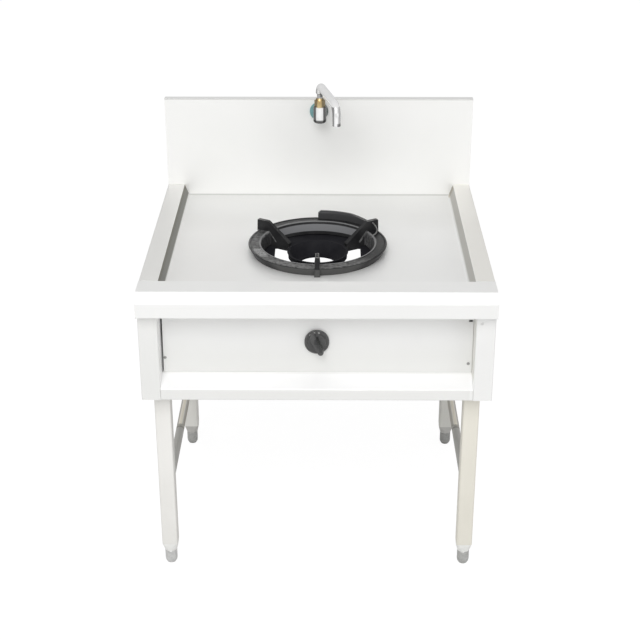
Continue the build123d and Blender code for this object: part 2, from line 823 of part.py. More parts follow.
with BuildPart() as mixing_tube:
    with BuildSketch(Plane.YZ) as mixer_profile:
        with BuildLine():
            Polyline(
                (mixer_start, mixer_z + mixer_diameter / 2 - mixer_wall),
                (mixer_start, mixer_z + mixer_diameter / 2),
                (mixer_end + mixer_mouth * 0.6, mixer_z + mixer_diameter / 2 - 4),
                (mixer_end, mixer_z + mixer_mouth / 2),
                (mixer_end, mixer_z + mixer_mouth / 2 - mixer_wall),
                (mixer_end + mixer_mouth * 0.6, mixer_z + mixer_diameter / 2 - 4 - mixer_wall),
                close=True,
            )
        make_face()
    revolve(mixer_profile.sketch, axis=Axis((0, 0, mixer_z), (0, 1, 0)))
save(mixing_tube.part, "mixing_tube")

injector_end = mixer_end - air_gap
injector_start = injector_end - injector_length
with BuildPart() as injector:
    with BuildSketch(Plane.XZ.offset(-injector_start)):
        with Locations((0, mixer_z)):
            RegularPolygon(injector_radius, 6)
    extrude(amount=-injector_length * 0.65)
    with BuildSketch(Plane.XZ.offset(-(injector_start + injector_length * 0.65))):
        with Locations((0, mixer_z)):
            Circle(injector_radius * 0.7)
    extrude(amount=-injector_length * 0.35, taper=20)
    with BuildSketch(Plane.XZ.offset(-injector_start)):
        with Locations((0, mixer_z)):
            Circle(1.2)
    extrude(amount=-injector_length, mode=Mode.SUBTRACT)
save(injector.part, "injector")

injector_pipe_start = valve_end.Y + seam + injector_radius * math.sin(math.radians(lean))
with BuildPart() as injector_pipe:
    with BuildSketch(Plane.XZ.offset(-injector_pipe_start)):
        with Locations((0, mixer_z)):
            Circle(injector_radius * 0.6)
            Circle(injector_radius * 0.4, mode=Mode.SUBTRACT)
    extrude(amount=-(injector_start - injector_pipe_start))
save(injector_pipe.part, "injector_pipe")

# crossbar on the base angles, and the stand that carries the burner on it
crossbar_bottom = leg_top + angle_sheet + seam
crossbar_top = crossbar_bottom + crossbar_height
crossbar_half = inner_wall_x - angle_sheet - seam
crossbar_outline = [
    (ring_y - channel_width / 2, crossbar_bottom),
    (ring_y - channel_width / 2, crossbar_top),
    (ring_y + channel_width / 2, crossbar_top),
    (ring_y + channel_width / 2, crossbar_bottom),
]
crossbar = folded(Plane.YZ.offset(-crossbar_half), crossbar_outline, 2 * crossbar_half, Side.RIGHT)
save(crossbar, "burner_crossbar")

with BuildPart() as burner_stand:
    with BuildSketch(Plane.XY.offset(crossbar_top)):
        with Locations((0, ring_y)):
            Circle(stand_diameter * 0.8)
    extrude(amount=4)
    with BuildSketch(Plane.XY.offset(crossbar_top)):
        with Locations((0, ring_y)):
            Circle(stand_diameter / 2)
    extrude(amount=burner_bottom - crossbar_top)
save(burner_stand.part, "burner_stand")

# ---------------------------------------------------------------- gas pipes
supply_start = valve_width / 2 + inlet_boss
bracket_y = rear_rail_y - rear_rail_depth + angle_sheet
fitting_y = bracket_y + angle_sheet
supply_end_y = fitting_y
supply_path = [
    (supply_start, valve_y, valve_z),
    (supply_side, valve_y, valve_z),
    (supply_side, supply_end_y, valve_z),
]
supply_bore = supply_diameter - 2 * supply_wall
supply_pipe = swept_tube(supply_path, supply_bend, supply_diameter, supply_bore)
save(supply_pipe, "supply_pipe")

bracket_bottom = rear_rail_bottom + rear_rail_height
with BuildPart() as pipe_bracket:
    with BuildSketch(Plane.XZ.offset(-bracket_y)):
        with Locations((supply_side, (bracket_bottom + valve_z + supply_diameter) / 2)):
            Rectangle(channel_width, valve_z + supply_diameter - bracket_bottom)
    extrude(amount=-angle_sheet)
    with BuildSketch(Plane.XY.offset(bracket_bottom)):
        with Locations((supply_side, bracket_y + bracket_foot / 2)):
            Rectangle(channel_width, bracket_foot)
    extrude(amount=angle_sheet)
    with BuildSketch(Plane.XZ.offset(-bracket_y)):
        with Locations((supply_side, valve_z)):
            Circle(supply_diameter / 2 + running)
    extrude(amount=-angle_sheet, mode=Mode.SUBTRACT)
save(pipe_bracket.part, "pipe_bracket")

with BuildPart() as gas_inlet:
    with BuildSketch(Plane.XZ.offset(-fitting_y)):
        with Locations((supply_side, valve_z)):
            RegularPolygon(gas_thread + 4, 6)
    extrude(amount=-fitting_hex)
    with BuildSketch(Plane.XZ.offset(-fitting_y)):
        with Locations((supply_side, valve_z)):
            Circle(gas_thread)
    extrude(amount=-(fitting_hex + fitting_thread))
    with BuildSketch(Plane.XZ.offset(-fitting_y)):
        with Locations((supply_side, valve_z)):
            Circle(supply_bore / 2)
    extrude(amount=-(fitting_hex + fitting_thread), mode=Mode.SUBTRACT)
save(gas_inlet.part, "gas_inlet")

pilot_x = -burner_radius - 4
pilot_y = ring_y - 30
pilot_top = burner_top - 8
pilot_path = [
    (-valve_width / 2 - outlet_boss, valve_y, valve_z),
    (pilot_x, valve_y, valve_z),
    (pilot_x, pilot_y, valve_z),
    (pilot_x, pilot_y, pilot_top),
]
pilot_tube = swept_tube(pilot_path, 2 * pilot_diameter, pilot_diameter, 0)
save(pilot_tube, "pilot_tube")

with BuildPart() as pilot_burner:
    with BuildSketch(Plane.XY.offset(pilot_top)):
        with Locations((pilot_x, pilot_y)):
            Circle(pilot_diameter)
    extrude(amount=pilot_hood)
    with BuildSketch(Plane.XY.offset(pilot_top + pilot_hood * 0.4)):
        with Locations((pilot_x + pilot_diameter, pilot_y)):
            Rectangle(2 * pilot_diameter, pilot_diameter)
    extrude(amount=pilot_hood * 0.4, mode=Mode.SUBTRACT)
save(pilot_burner.part, "pilot_burner")

# ---------------------------------------------------------------- tap
splash_plane = Plane.XZ.offset(-backsplash_y)
barrel_y = backsplash_y - barrel_reach
barrel_bottom = tap_height - barrel_below
barrel_top = tap_height + barrel_above
collar_radius = spout_stem / 2 + collar_step
with BuildPart() as tap_flange:
    with BuildSketch(splash_plane):
        with Locations((tap_offset, tap_height)):
            Circle(tap_flange_diameter / 2)
            Circle(shank_diameter / 2 + running, mode=Mode.SUBTRACT)
    extrude(amount=tap_flange_thickness)
    outer_edges = tap_flange.edges().filter_by(GeomType.CIRCLE).group_by(Axis.Y)[0]
    fillet(outer_edges.sort_by(SortBy.RADIUS)[-1], 3.5)
save(tap_flange.part, "tap_flange")

with BuildPart() as tap_body:
    with BuildSketch(Plane.XY.offset(barrel_bottom)):
        with Locations((barrel_offset, barrel_y)):
            Circle(barrel_diameter / 2)
    extrude(amount=barrel_top - barrel_bottom)
    fillet(tap_body.edges().filter_by(GeomType.CIRCLE).sort_by(Axis.Z)[0], 7)
    chamfer(tap_body.edges().filter_by(GeomType.CIRCLE).sort_by(Axis.Z)[-1], 1.5)
    with BuildSketch(splash_plane):
        with Locations((tap_offset, tap_height)):
            Circle(shank_diameter / 2)
    extrude(amount=barrel_reach)
    with BuildSketch(splash_plane):
        with Locations((tap_offset, tap_height)):
            Circle(shank_diameter / 2)
    extrude(amount=-shank_reach)
    with BuildSketch(Plane.XY.offset(barrel_top - stem_seat)):
        with Locations((barrel_offset, barrel_y)):
            Circle(spout_stem / 2 + running)
    extrude(amount=stem_seat + 1, mode=Mode.SUBTRACT)
    with BuildSketch(Plane.XY.offset(barrel_top - collar_height - 1)):
        with Locations((barrel_offset, barrel_y)):
            Circle(collar_radius + seam)
    extrude(amount=collar_height + 2, mode=Mode.SUBTRACT)
save(tap_body.part, "tap_body")

nut_bottom = barrel_top + seam
with BuildPart() as tap_nut:
    with BuildSketch(Plane.XY.offset(nut_bottom)):
        with Locations((barrel_offset, barrel_y)):
            RegularPolygon(nut_across / 2, 6, major_radius=False)
    extrude(amount=nut_height * 0.75)
    with BuildSketch(Plane.XY.offset(nut_bottom + nut_height * 0.75)):
        with Locations((barrel_offset, barrel_y)):
            Circle(nut_across / 2 - 1)
    extrude(amount=nut_height * 0.25, taper=25)
    with BuildSketch(Plane.XY.offset(nut_bottom)):
        with Locations((barrel_offset, barrel_y)):
            Circle(spout_stem / 2 + running)
    extrude(amount=nut_height, mode=Mode.SUBTRACT)
save(tap_nut.part, "tap_nut")

swing = math.radians(spout_swing)
spout_way = Vector(math.sin(swing), -math.cos(swing), 0)
spout_foot = Vector(barrel_offset, barrel_y, 0)
spout_start = nut_bottom + nut_height + spout_neck
spout_tip = spout_foot + spout_way * spout_reach
spout_path = [
    (spout_foot.X, spout_foot.Y, spout_start),
    (spout_foot.X, spout_foot.Y, tap_height + spout_peak),
    (spout_tip.X, spout_tip.Y, tap_height + spout_peak - spout_fall),
    (spout_tip.X, spout_tip.Y, tap_height + spout_outlet),
]
spout_radii = [(tap_height + spout_peak - spout_start) * 0.9, spout_diameter * 1.3]
stem_bottom = barrel_top - stem_seat + 1
with BuildPart() as spout:
    with BuildLine() as spout_line:
        FilletPolyline(*spout_path, radius=spout_radii)
    with BuildSketch(Plane(origin=spout_line.line @ 0, z_dir=(0, 0, 1))):
        Circle(spout_diameter / 2)
        Circle(spout_bore / 2, mode=Mode.SUBTRACT)
    sweep()
    with BuildSketch(Plane.XY.offset(stem_bottom)):
        with Locations((barrel_offset, barrel_y)):
            Circle(spout_stem / 2)
    extrude(amount=spout_start - stem_bottom)
    with BuildSketch(Plane.XY.offset(spout_start)):
        with Locations((barrel_offset, barrel_y)):
            Circle(spout_diameter / 2)
    extrude(amount=-2, taper=45)
    with BuildSketch(Plane.XY.offset(barrel_top - collar_height - 0.5)):
        with Locations((barrel_offset, barrel_y)):
            Circle(collar_radius)
    extrude(amount=collar_height)
    with BuildSketch(Plane.XY.offset(stem_bottom)):
        with Locations((barrel_offset, barrel_y)):
            Circle(spout_stem / 2 - 3)
    extrude(amount=spout_start - stem_bottom + 1, mode=Mode.SUBTRACT)
save(spout.part, "spout")

with BuildPart() as tap_locknut:
    with BuildSketch(splash_plane.offset(-(sheet + running))):
        with Locations((tap_offset, tap_height)):
            RegularPolygon(shank_diameter / 2 + 6, 6)
            Circle(shank_diameter / 2 + running, mode=Mode.SUBTRACT)
    extrude(amount=-(shank_reach - sheet - 1))
save(tap_locknut.part, "tap_locknut")

pipe_y = backsplash_y + shank_reach + water_pipe_diameter * 0.8
water_path = [
    (tap_offset, backsplash_y + shank_reach, tap_height),
    (tap_offset, pipe_y, tap_height),
    (tap_offset, pipe_y, water_pipe_bottom),
]
water_pipe = swept_tube(
    water_path, water_pipe_diameter * 0.75, water_pipe_diameter, water_pipe_diameter - 3
)
save(water_pipe, "water_pipe")

with BuildPart() as water_inlet:
    with BuildSketch(Plane.XY.offset(water_pipe_bottom)):
        with Locations((tap_offset, pipe_y)):
            RegularPolygon(water_hex / 2, 6, major_radius=False)
    extrude(amount=-fitting_hex)
    with BuildSketch(Plane.XY.offset(water_pipe_bottom)):
        with Locations((tap_offset, pipe_y)):
            Circle(water_thread)
    extrude(amount=-(fitting_hex + fitting_thread))
    with BuildSketch(Plane.XY.offset(water_pipe_bottom)):
        with Locations((tap_offset, pipe_y)):
            Circle(water_pipe_diameter / 2 - 1.5)
    extrude(amount=-(fitting_hex + fitting_thread), mode=Mode.SUBTRACT)
save(water_inlet.part, "water_inlet")

# ---------------------------------------------------------------- screws
screw_places = [panel_plane(z, x) for x, z in panel_screw_places]
post_screw_plane = Plane.XZ.offset(-post_y)
with BuildPart() as panel_screws:
    for screw_plane in screw_places:
        with BuildSketch(screw_plane.offset(running)):
            Circle(screw_head / 2)
        extrude(amount=2.2, taper=15)
        with BuildSketch(screw_plane.offset(running)):
            Circle(screw_shank / 2)
        extrude(amount=-screw_length)
save(panel_screws.part, "panel_screws")

with BuildPart() as post_screw:
    with BuildSketch(post_screw_plane.offset(running)):
        with Locations(post_screw_place):
            Circle(screw_head / 2)
    extrude(amount=2.2, taper=15)
    with BuildSketch(post_screw_plane.offset(running)):
        with Locations(post_screw_place):
            Circle(screw_shank / 2)
    extrude(amount=-screw_length)
save(post_screw.part, "post_screw")
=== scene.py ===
import json
import math

import bmesh
import bpy
from mathutils import Matrix, Vector
from mathutils.geometry import interpolate_bezier


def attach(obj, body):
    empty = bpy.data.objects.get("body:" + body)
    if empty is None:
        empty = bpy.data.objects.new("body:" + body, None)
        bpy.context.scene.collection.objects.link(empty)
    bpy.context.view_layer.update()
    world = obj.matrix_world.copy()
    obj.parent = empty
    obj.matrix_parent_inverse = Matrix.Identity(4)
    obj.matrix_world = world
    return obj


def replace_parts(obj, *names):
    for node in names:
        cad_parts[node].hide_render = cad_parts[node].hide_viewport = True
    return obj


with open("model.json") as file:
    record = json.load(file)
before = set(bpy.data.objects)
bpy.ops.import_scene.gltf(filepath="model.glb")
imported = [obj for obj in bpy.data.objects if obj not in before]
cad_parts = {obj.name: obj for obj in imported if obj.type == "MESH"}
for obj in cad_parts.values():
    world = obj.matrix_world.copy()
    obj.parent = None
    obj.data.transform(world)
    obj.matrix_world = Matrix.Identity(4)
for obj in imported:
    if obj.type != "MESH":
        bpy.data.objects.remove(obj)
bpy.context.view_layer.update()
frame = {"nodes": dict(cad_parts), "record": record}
nodes = frame["nodes"]
print("stage: frame loaded")

# parts of the noise's range that are spread over gloss and mottling, and over the tone
glossSpan, toneSpan = (0.3, 0.7), (0.32, 0.68)
grainDetail, driftDetail = 2.0, 4.0
unstretched = (1, 1, 1)
usualDepth, usualSpecular = 0.0002, 0.5


def clearedTree(owner, outputKind):
    owner.use_nodes = True
    tree = owner.node_tree
    tree.nodes.clear()
    return tree, tree.nodes.new(outputKind)


def newMaterial(name):
    mat = bpy.data.materials.new(name)
    tree, out = clearedTree(mat, "ShaderNodeOutputMaterial")
    bsdf = tree.nodes.new("ShaderNodeBsdfPrincipled")
    tree.links.new(bsdf.outputs["BSDF"], out.inputs["Surface"])
    coord = tree.nodes.new("ShaderNodeTexCoord")
    return mat, tree, bsdf, coord


def addNode(tree, kind, inputs=None, **settings):
    node = tree.nodes.new(kind)
    for key, value in settings.items():
        setattr(node, key, value)
    for key, value in (inputs or {}).items():
        node.inputs[key].default_value = value
    return node


def grey(value):
    return (value, value, value, 1.0)


def noiseFrom(tree, coord, stretch, scale, detail):
    mapping = addNode(tree, "ShaderNodeMapping", {"Scale": stretch})
    tree.links.new(coord.outputs["Object"], mapping.inputs["Vector"])
    noise = addNode(tree, "ShaderNodeTexNoise", {"Scale": scale, "Detail": detail})
    tree.links.new(mapping.outputs["Vector"], noise.inputs["Vector"])
    return noise.outputs["Fac"]


def spread(tree, source, low, high):
    node = addNode(tree, "ShaderNodeMapRange", {"From Min": glossSpan[0], "From Max": glossSpan[1],
                                                "To Min": low, "To Max": high})
    tree.links.new(source, node.inputs["Value"])
    return node.outputs["Result"]


def twoTone(tree, source, low, high):
    node = addNode(tree, "ShaderNodeValToRGB")
    for element, place, colour in zip(node.color_ramp.elements, toneSpan, (low, high)):
        element.position = place
        element.color = (*colour, 1.0)
    tree.links.new(source, node.inputs["Fac"])
    return node.outputs["Color"]


def product(tree, first, second):
    node = addNode(tree, "ShaderNodeMath", operation="MULTIPLY")
    tree.links.new(first, node.inputs[0])
    tree.links.new(second, node.inputs[1])
    return node.outputs[0]


def band(tree, source, low, high, soft):
    # 1 from low to high, fading to 0 over soft on both sides
    rise = addNode(tree, "ShaderNodeMapRange", {"From Min": low - soft, "From Max": low},
                   interpolation_type="SMOOTHSTEP")
    fall = addNode(tree, "ShaderNodeMapRange",
                   {"From Min": high, "From Max": high + soft, "To Min": 1.0, "To Max": 0.0},
                   interpolation_type="SMOOTHSTEP")
    tree.links.new(source, rise.inputs["Value"])
    tree.links.new(source, fall.inputs["Value"])
    return product(tree, rise.outputs["Result"], fall.outputs["Result"])


def patchMask(tree, coord, patch):
    # the product of every range that the patch names
    parts = []
    axes = addNode(tree, "ShaderNodeSeparateXYZ")
    tree.links.new(coord.outputs["Object"], axes.inputs["Vector"])
    for name, output in zip("xyz", axes.outputs):
        if name in patch:  # low, high and, where it differs, its own softness
            low, high, *own = patch[name]
            parts.append(band(tree, output, low, high, own[0] if own else patch["soft"]))
    if "radius" in patch:  # distance from an upright axis
        shift = addNode(tree, "ShaderNodeVectorMath", {1: (*patch["axis"], 0)}, operation="SUBTRACT")
        flat = addNode(tree, "ShaderNodeVectorMath", {1: (1, 1, 0)}, operation="MULTIPLY")
        reach = addNode(tree, "ShaderNodeVectorMath", operation="LENGTH")
        tree.links.new(coord.outputs["Object"], shift.inputs[0])
        tree.links.new(shift.outputs["Vector"], flat.inputs[0])
        tree.links.new(flat.outputs["Vector"], reach.inputs[0])
        parts.append(band(tree, reach.outputs["Value"], *patch["radius"], patch["soft"]))
    if "slant" in patch:  # distance along a slanted direction
        lean = addNode(tree, "ShaderNodeVectorMath", {1: patch["slant"]}, operation="DOT_PRODUCT")
        tree.links.new(coord.outputs["Object"], lean.inputs[0])
        parts.append(band(tree, lean.outputs["Value"], *patch["reach"], patch["soft"]))
    mask = parts[0]
    for part in parts[1:]:
        mask = product(tree, mask, part)
    return mask


def tinted(tree, coord, colour, patches):
    for patch in patches:
        mix = addNode(tree, "ShaderNodeMixRGB", {"Color2": (*patch["tint"], 1.0)},
                      blend_type=patch["blend"])
        mask = patchMask(tree, coord, patch)
        if "mottle" in patch:
            speckle = noiseFrom(tree, coord, unstretched, patch["mottle"], driftDetail)
            mask = product(tree, mask, spread(tree, speckle, 0.0, 1.0))
        tree.links.new(mask, mix.inputs["Fac"])
        tree.links.new(colour, mix.inputs["Color1"])
        colour = mix.outputs["Color"]
    return colour


def bumpFrom(tree, bsdf, source, strength, distance):
    bump = addNode(tree, "ShaderNodeBump", {"Strength": strength, "Distance": distance})
    tree.links.new(source, bump.inputs["Height"])
    tree.links.new(bump.outputs["Normal"], bsdf.inputs["Normal"])


def finish(name, settings):
    # fine grain drives gloss and bump, a slow drift moves the tone, patches mark it in places
    mat, tree, bsdf, coord = newMaterial(name)
    grain = noiseFrom(tree, coord, settings["grain"], 1.0, grainDetail)
    drift = noiseFrom(tree, coord, unstretched, settings["drift"], driftDetail)
    colour = twoTone(tree, drift, settings["low"], settings["high"])
    colour = tinted(tree, coord, colour, settings.get("patches", ()))
    tree.links.new(colour, bsdf.inputs["Base Color"])
    tree.links.new(spread(tree, grain, *settings["rough"]), bsdf.inputs["Roughness"])
    bumpFrom(tree, bsdf, grain, settings["bump"], settings.get("depth", usualDepth))
    bsdf.inputs["Metallic"].default_value = settings["metallic"]
    bsdf.inputs["Specular IOR Level"].default_value = settings.get("specular", usualSpecular)
    return mat


def mark(tint, soft, blend="MULTIPLY", **where):
    # a patch that darkens or brightens what is under it; one number stands for a grey
    colour = tint if isinstance(tint, tuple) else (tint,) * 3
    return {"tint": colour, "soft": soft, "blend": blend, **where}


def coat(tint, soft, **where):
    # a patch that covers what is under it
    return mark(tint, soft, "MIX", **where)


# places on the body that the patches share, in metres
leftWall, rightWall, wallRun = (-0.3785, -0.3668), (0.3668, 0.3785), (-0.306, 0.3740)
panSkin, splashFace = (0.7670, 0.7700), (0.3735, 0.3765)
sheetSteel = {
    "grain": (14, 900, 900), "drift": 2.3, "low": (0.84, 0.84, 0.83), "high": (0.88, 0.88, 0.87),
    "rough": (0.44, 0.56), "bump": 0.10, "metallic": 0.30,
    "patches": [
        # steep side walls of the sunk worktop, with a painted dark reflection of a room on them
        mark((0.24, 0.24, 0.22), 0.0006, x=leftWall, y=wallRun, z=(0.7770, 0.7990, 0.0060)),
        mark((0.86, 0.83, 0.78), 0.0010, x=(-0.3785, -0.3745), y=wallRun, z=(0.7910, 0.7990)),
        mark((0.555, 0.545, 0.515), 0.0006, x=rightWall, y=wallRun, z=(0.7790, 0.7990, 0.0080)),
        mark((0.74, 0.70, 0.62), 0.0006, x=rightWall, y=(0.350, 0.3660, 0.008), z=(0.7692, 0.7990)),
        # painted highlight on the bevels of the front rim and of the bottom rail
        coat(0.98, 0.0008, x=(-0.424, 0.424), y=(-0.3965, -0.3715), z=(0.7805, 0.7996)),
        coat(0.95, 0.0008, x=(-0.378, 0.378), y=(-0.3675, -0.3212), z=(0.5402, 0.5636)),
        # darker tops of the side rims
        mark((0.925, 0.92, 0.905), 0.0006, x=(-0.4245, -0.3795), y=(-0.3055, 0.375), z=(0.7985, 0.8010)),
        mark((0.985, 0.970, 0.935), 0.0006, x=(0.3795, 0.4245), y=(-0.3055, 0.375), z=(0.7985, 0.8010)),
        # painted light on the splashback's face, and a painted shadow line along its upper edge
        mark((1.07, 1.07, 1.065), 0.002, y=splashFace, z=(0.7740, 1.0445)),
        mark((0.84, 0.84, 0.83), 0.0007, y=splashFace, z=(1.0452, 1.0490)),
        # painted shade on the front of the left post and the bottom rail, then on the control panel's
        # foot
        mark((0.950, 0.950, 0.942), 0.0006, x=(-0.430, 0.370), y=(-0.3700, -0.3675), z=(0.5050, 0.7420)),
        mark((0.930, 0.930, 0.920), 0.001, x=(-0.375, 0.379), y=(-0.3250, -0.3080),
             z=(0.5640, 0.6000, 0.060)),
        # back of the worktop darker, and painted shade on the right post's return
        mark((0.925, 0.925, 0.920), 0.001, x=(-0.367, 0.367), y=(0.2200, 0.3745, 0.160), z=panSkin),
        mark((0.930, 0.925, 0.890), 0.0006, x=(0.3775, 0.3795), y=(-0.3665, -0.2950), z=(0.5600, 0.7420)),
        # painted highlight beside the front horn's foot
        mark(1.09, 0.009, axis=(0.0175, -0.2270), radius=(0.0, 0.0050), z=panSkin),
        # front rim's flat lighter on the right, and the worktop's left side darker
        mark(1.03, 0.001, x=(0.05, 0.424, 0.15), y=(-0.3710, -0.3070), z=(0.7990, 0.8010)),
        mark((0.970, 0.965, 0.960), 0.001, x=(-0.367, -0.230, 0.08), y=(-0.300, 0.100, 0.15), z=panSkin),
        # painted shade in the corner where the splashback meets the worktop
        mark((0.86, 0.86, 0.85), 0.001, y=(0.3725, 0.3746), z=(0.7665, 0.7715)),
    ],
}
rightSide, frontLegs, rearLegs = (0.30, 0.45), (-0.40, -0.286), (0.289, 0.40)
tubeMiddles, tubeHeight, rearHalf = (-0.3814, 0.3814), (0.200, 0.228), (0.022, 0.286)
tubeSteel = {
    "grain": (900, 900, 14), "drift": 5.0, "low": (0.81, 0.80, 0.765), "high": (0.87, 0.86, 0.83),
    "rough": (0.42, 0.55), "bump": 0.10, "metallic": 0.35,
    "patches": [
        # painted light and shade on the legs: left rear, left front's inner face, right rear, right front
        # and its inner face
        mark((1.04, 1.04, 1.03), 0.004, x=(-0.45, -0.30), y=rearLegs),
        mark((0.95, 0.95, 0.94), 0.001, x=(-0.3618, -0.3590), y=frontLegs),
        mark((0.88, 0.88, 0.86), 0.004, x=rightSide, y=rearLegs),
        mark((0.935, 0.915, 0.85), 0.002, x=rightSide, y=frontLegs),
        mark(1.06, 0.001, x=(0.3590, 0.3618), y=frontLegs),
        # heat tint of the welds at the stretchers' ends
        mark((0.50, 0.48, 0.44), 0.006, y=(-0.288, -0.276), z=tubeHeight),
        mark((0.50, 0.48, 0.44), 0.006, y=(0.279, 0.291), z=tubeHeight),
        # stretchers: painted shade on the front half, which ends in a darker arc
        mark((0.62, 0.62, 0.61), 0.004, y=(-0.286, 0.008), z=tubeHeight),
        mark((0.60, 0.59, 0.56), 0.006, y=(0.006, 0.020), z=tubeHeight),
        # behind it a straw-coloured painted highlight along the top, between two sides in painted shade
        *[coat((0.96, 0.91, 0.79), 0.002, x=(middle - 0.0035, middle + 0.0035), y=rearHalf,
               z=(0.218, 0.228)) for middle in tubeMiddles],
        *[mark((0.58, 0.56, 0.52), 0.002, x=(middle + low, middle + low + 0.004), y=rearHalf,
               z=tubeHeight) for middle in tubeMiddles for low in (-0.011, 0.007)],
    ],
}
frameSteel = {
    "grain": (20, 300, 300), "drift": 9.0, "low": (0.50, 0.51, 0.51), "high": (0.62, 0.63, 0.63),
    "rough": (0.42, 0.58), "bump": 0.15, "metallic": 0.7,
}
plugMetal = {
    "grain": (260, 260, 260), "drift": 40.0, "low": (0.83, 0.83, 0.80), "high": (0.90, 0.90, 0.88),
    "rough": (0.36, 0.48), "bump": 0.12, "metallic": 0.4,
    "patches": [mark((0.70, 0.69, 0.68), 0.01, y=(0.25, 0.40))],  # duller under the rear legs
}
footMetal = {
    "grain": (60, 60, 2200), "drift": 170.0, "low": (0.55, 0.55, 0.54), "high": (0.69, 0.69, 0.68),
    "rough": (0.34, 0.50), "bump": 0.30, "metallic": 0.6,
    "patches": [
        # left rear, right rear and right front foot
        mark((0.82, 0.82, 0.81), 0.01, x=(-0.45, -0.30), y=(0.25, 0.40)),
        mark((0.67, 0.67, 0.66), 0.01, x=rightSide, y=(0.25, 0.40)),
        mark((0.77, 0.77, 0.76), 0.01, x=rightSide, y=(-0.40, -0.25)),
    ],
}
pipeSteel = {
    "grain": (300, 300, 300), "drift": 20.0, "low": (0.26, 0.27, 0.27), "high": (0.36, 0.37, 0.37),
    "rough": (0.48, 0.62), "bump": 0.15, "metallic": 0.8,
}
copperTube = {
    "grain": (300, 300, 300), "drift": 30.0, "low": (0.52, 0.28, 0.17), "high": (0.66, 0.37, 0.24),
    "rough": (0.32, 0.46), "bump": 0.10, "metallic": 1.0,
}
spindleSteel = {
    "grain": (400, 400, 400), "drift": 60.0, "low": (0.48, 0.48, 0.47), "high": (0.56, 0.56, 0.55),
    "rough": (0.26, 0.36), "bump": 0.10, "metallic": 1.0,
}
screwSteel = {
    "grain": (500, 500, 500), "drift": 90.0, "low": (0.30, 0.30, 0.29), "high": (0.44, 0.44, 0.43),
    "rough": (0.30, 0.42), "bump": 0.10, "metallic": 0.9,
    # painted highlight on the post's screw
    "patches": [coat((0.74, 0.74, 0.73), 0.001, x=(0.384, 0.398))],  # the post's screw is brighter
}
brassMetal = {
    "grain": (60, 60, 1800), "drift": 60.0, "low": (0.62, 0.45, 0.21), "high": (0.76, 0.60, 0.33),
    "rough": (0.30, 0.42), "bump": 0.12, "metallic": 0.8,
    "patches": [
        # shaded left and right sides of the nut
        mark(0.36, 0.003, x=(-0.012, -0.0050), y=(0.30, 0.329)),
        mark((0.34, 0.36, 0.40), 0.004, x=(0.0105, 0.020), y=(0.30, 0.329)),
    ],
}
spoutEnd = (0.14, 0.19)
chromePlate = {
    "grain": (400, 400, 400), "drift": 70.0, "low": (0.92, 0.92, 0.92), "high": (0.97, 0.97, 0.97),
    "rough": (0.12, 0.18), "bump": 0.01, "metallic": 0.5,
    "patches": [
        # painted dark reflection on the sides and underside of the tap's barrel
        mark(0.13, 0.003, x=(-0.020, -0.0085), y=(0.305, 0.330), z=(0.99, 1.042)),
        mark(0.13, 0.003, x=(0.0140, 0.026), y=(0.305, 0.330), z=(0.99, 1.042)),
        mark(0.16, 0.004, x=(-0.02, 0.026), y=(0.305, 0.36), z=(0.99, 1.0035)),
        # shaded foot and sides of the spout's rise
        mark(0.50, 0.003, x=(-0.010, 0.020), y=(0.31, 0.345), z=(1.062, 1.077)),
        mark(0.30, 0.004, x=(0.0060, 0.020), y=(0.31, 0.345), z=(1.070, 1.090)),
        mark(0.42, 0.002, x=(-0.010, -0.0045), y=(0.31, 0.345), z=(1.070, 1.092)),
        # shaded sides and mouth of the spout's end
        mark(0.30, 0.002, x=(0.034, 0.0405), y=spoutEnd, z=(1.03, 1.085)),
        mark(0.58, 0.003, x=(0.0535, 0.062), y=spoutEnd, z=(1.03, 1.085)),
        mark(0.35, 0.003, x=(0.0510, 0.062), y=spoutEnd, z=(1.036, 1.043)),
    ],
}
tealPaint = {
    "grain": (300, 300, 300), "drift": 60.0, "low": (0.13, 0.29, 0.30), "high": (0.20, 0.38, 0.39),
    "rough": (0.26, 0.36), "bump": 0.05, "metallic": 0.0,
    "patches": [mark((0.62, 0.38, 0.36), 0.008, x=(0.004, 0.04))],  # shaded right side
}
knobPlastic = {
    "grain": (700, 700, 700), "drift": 30.0, "low": (0.055, 0.055, 0.055), "high": (0.085, 0.085, 0.084),
    "rough": (0.42, 0.55), "bump": 0.12, "metallic": 0.0,
    "patches": [
        # the shaded side of the grip, darkest at its upper end
        mark(0.34, 0.003, x=(-0.0045, 0.0030), z=(0.6530, 0.6640)),
        mark(0.50, 0.003, x=(0.0015, 0.0070), z=(0.6440, 0.6520)),
        mark(0.55, 0.003, x=(0.0070, 0.0120), z=(0.6330, 0.6430)),
    ],
}
markPaint = {
    "grain": (900, 900, 900), "drift": 90.0, "low": (0.42, 0.42, 0.41), "high": (0.60, 0.60, 0.59),
    "rough": (0.45, 0.60), "bump": 0.05, "metallic": 0.0,
}
ringAxis = (0.0, -0.0355)
ringTop, topFace, innerLip = (0.7885, 0.7925), (0.148, 0.176), (0.1436, 0.1478)
coneWall, lipTop, plateHeight = (0.1370, 0.1450), (0.7870, 0.7925), (0.768, 0.795)


def ringCoat(tint, soft, radius, **where):
    return coat(tint, soft, axis=ringAxis, radius=radius, **where)


